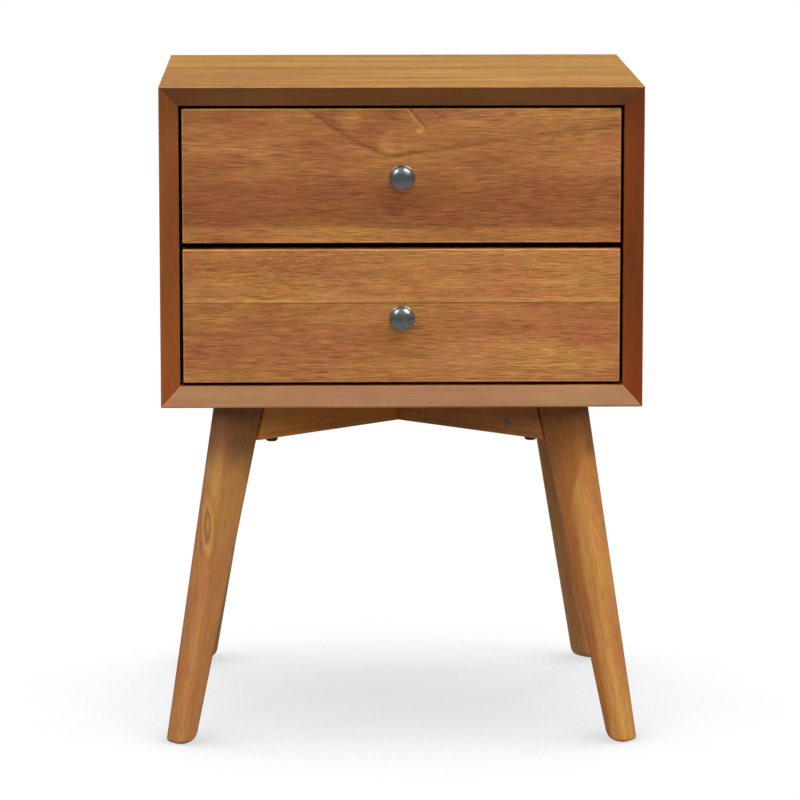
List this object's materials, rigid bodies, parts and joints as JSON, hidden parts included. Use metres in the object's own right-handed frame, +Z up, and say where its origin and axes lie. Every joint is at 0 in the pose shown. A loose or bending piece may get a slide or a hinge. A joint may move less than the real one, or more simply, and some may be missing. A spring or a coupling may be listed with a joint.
{
  "type": "nightstand with drawers",
  "caption": "Bedside cabinet: a mitred wooden case with drawers behind a bevelled rim, round metal knobs and tapered legs splayed towards the corners from crossed rails.",
  "frame": {"origin": "on the floor under the middle of the object", "axes": "+Z up, the drawer fronts face -Y, +X to the right of someone facing them"},
  "size_m": [0.457, 0.4022, 0.63],
  "materials": {
    "case_wood": "lacquered acacia-like solid boards, satin",
    "front_wood": "lacquered solid boards with a long horizontal grain, satin",
    "leg_wood": "lacquered solid wood with grain along the leg, satin",
    "rail_wood": "stained solid wood, satin",
    "box_wood": "pale unstained wood with a thin clear coat",
    "plywood": "thin plywood, matt",
    "dowel_wood": "bare beech",
    "knob_metal": "dark pewter-coloured finish over turned metal, satin",
    "slide_steel": "black-coated rolled steel",
    "bright_steel": "bright balls in a plated retainer",
    "screw_steel": "zinc-plated steel",
    "dark_steel": "dark oxidised steel",
    "insert_brass": "brass-coloured threaded insert"
  },
  "bodies": {
    "case": {"back_left_leg": "leg_wood", "back_panel": "plywood", "back_panel_screws": "screw_steel", "back_right_leg": "leg_wood", "barrel_nuts": "dark_steel", "base_bolts": "dark_steel", "bottom_panel": "case_wood", "cabinet_slide_screws": "screw_steel", "front_left_leg": "leg_wood", "front_left_to_back_right_rail": "rail_wood", "front_right_leg": "leg_wood", "front_right_to_back_left_rail": "rail_wood", "left_side_panel": "case_wood", "leg_studs": "dark_steel", "lower_left_cabinet_member": "slide_steel", "lower_right_cabinet_member": "slide_steel", "mitre_splines": "dowel_wood", "right_side_panel": "case_wood", "threaded_inserts": "insert_brass", "top_panel": "case_wood", "upper_left_cabinet_member": "slide_steel", "upper_right_cabinet_member": "slide_steel"},
    "upper_drawer": {"upper_box_back": "box_wood", "upper_box_bottom": "plywood", "upper_box_dowels": "dowel_wood", "upper_box_front": "box_wood", "upper_box_left_side": "box_wood", "upper_box_right_side": "box_wood", "upper_drawer_front": "front_wood", "upper_drawer_slide_screws": "screw_steel", "upper_front_screws": "screw_steel", "upper_knob": "knob_metal", "upper_knob_screw": "screw_steel", "upper_left_drawer_member": "slide_steel", "upper_right_drawer_member": "slide_steel"},
    "upper_slide_middles": {"upper_left_middle_member": "slide_steel", "upper_right_middle_member": "slide_steel"},
    "upper_outer_cages": {"upper_outer_ball_cages": "bright_steel"},
    "upper_inner_cages": {"upper_inner_ball_cages": "bright_steel"},
    "lower_drawer": {"lower_box_back": "box_wood", "lower_box_bottom": "plywood", "lower_box_dowels": "dowel_wood", "lower_box_front": "box_wood", "lower_box_left_side": "box_wood", "lower_box_right_side": "box_wood", "lower_drawer_front": "front_wood", "lower_drawer_slide_screws": "screw_steel", "lower_front_screws": "screw_steel", "lower_knob": "knob_metal", "lower_knob_screw": "screw_steel", "lower_left_drawer_member": "slide_steel", "lower_right_drawer_member": "slide_steel"},
    "lower_slide_middles": {"lower_left_middle_member": "slide_steel", "lower_right_middle_member": "slide_steel"},
    "lower_outer_cages": {"lower_outer_ball_cages": "bright_steel"},
    "lower_inner_cages": {"lower_inner_ball_cages": "bright_steel"}
  },
  "joints": [
    {"name": "upper_drawer_slide", "type": "slide", "parent": "case", "child": "upper_drawer", "axis": [0, -1, 0], "range_m": [0, 0.29]},
    {"name": "upper_slide_middles_slide", "type": "slide", "parent": "case", "child": "upper_slide_middles", "axis": [0, -1, 0], "range_m": [0, 0.145]},
    {"name": "upper_outer_cages_slide", "type": "slide", "parent": "case", "child": "upper_outer_cages", "axis": [0, -1, 0], "range_m": [0, 0.0725]},
    {"name": "upper_inner_cages_slide", "type": "slide", "parent": "case", "child": "upper_inner_cages", "axis": [0, -1, 0], "range_m": [0, 0.2175]},
    {"name": "lower_drawer_slide", "type": "slide", "parent": "case", "child": "lower_drawer", "axis": [0, -1, 0], "range_m": [0, 0.29]},
    {"name": "lower_slide_middles_slide", "type": "slide", "parent": "case", "child": "lower_slide_middles", "axis": [0, -1, 0], "range_m": [0, 0.145]},
    {"name": "lower_outer_cages_slide", "type": "slide", "parent": "case", "child": "lower_outer_cages", "axis": [0, -1, 0], "range_m": [0, 0.0725]},
    {"name": "lower_inner_cages_slide", "type": "slide", "parent": "case", "child": "lower_inner_cages", "axis": [0, -1, 0], "range_m": [0, 0.2175]}
  ],
  "couplings": [
    {"joint": "upper_slide_middles_slide", "follows": "upper_drawer_slide", "ratio": 0.5},
    {"joint": "upper_outer_cages_slide", "follows": "upper_drawer_slide", "ratio": 0.25},
    {"joint": "upper_inner_cages_slide", "follows": "upper_drawer_slide", "ratio": 0.75},
    {"joint": "lower_slide_middles_slide", "follows": "lower_drawer_slide", "ratio": 0.5},
    {"joint": "lower_outer_cages_slide", "follows": "lower_drawer_slide", "ratio": 0.25},
    {"joint": "lower_inner_cages_slide", "follows": "lower_drawer_slide", "ratio": 0.75}
  ]
}
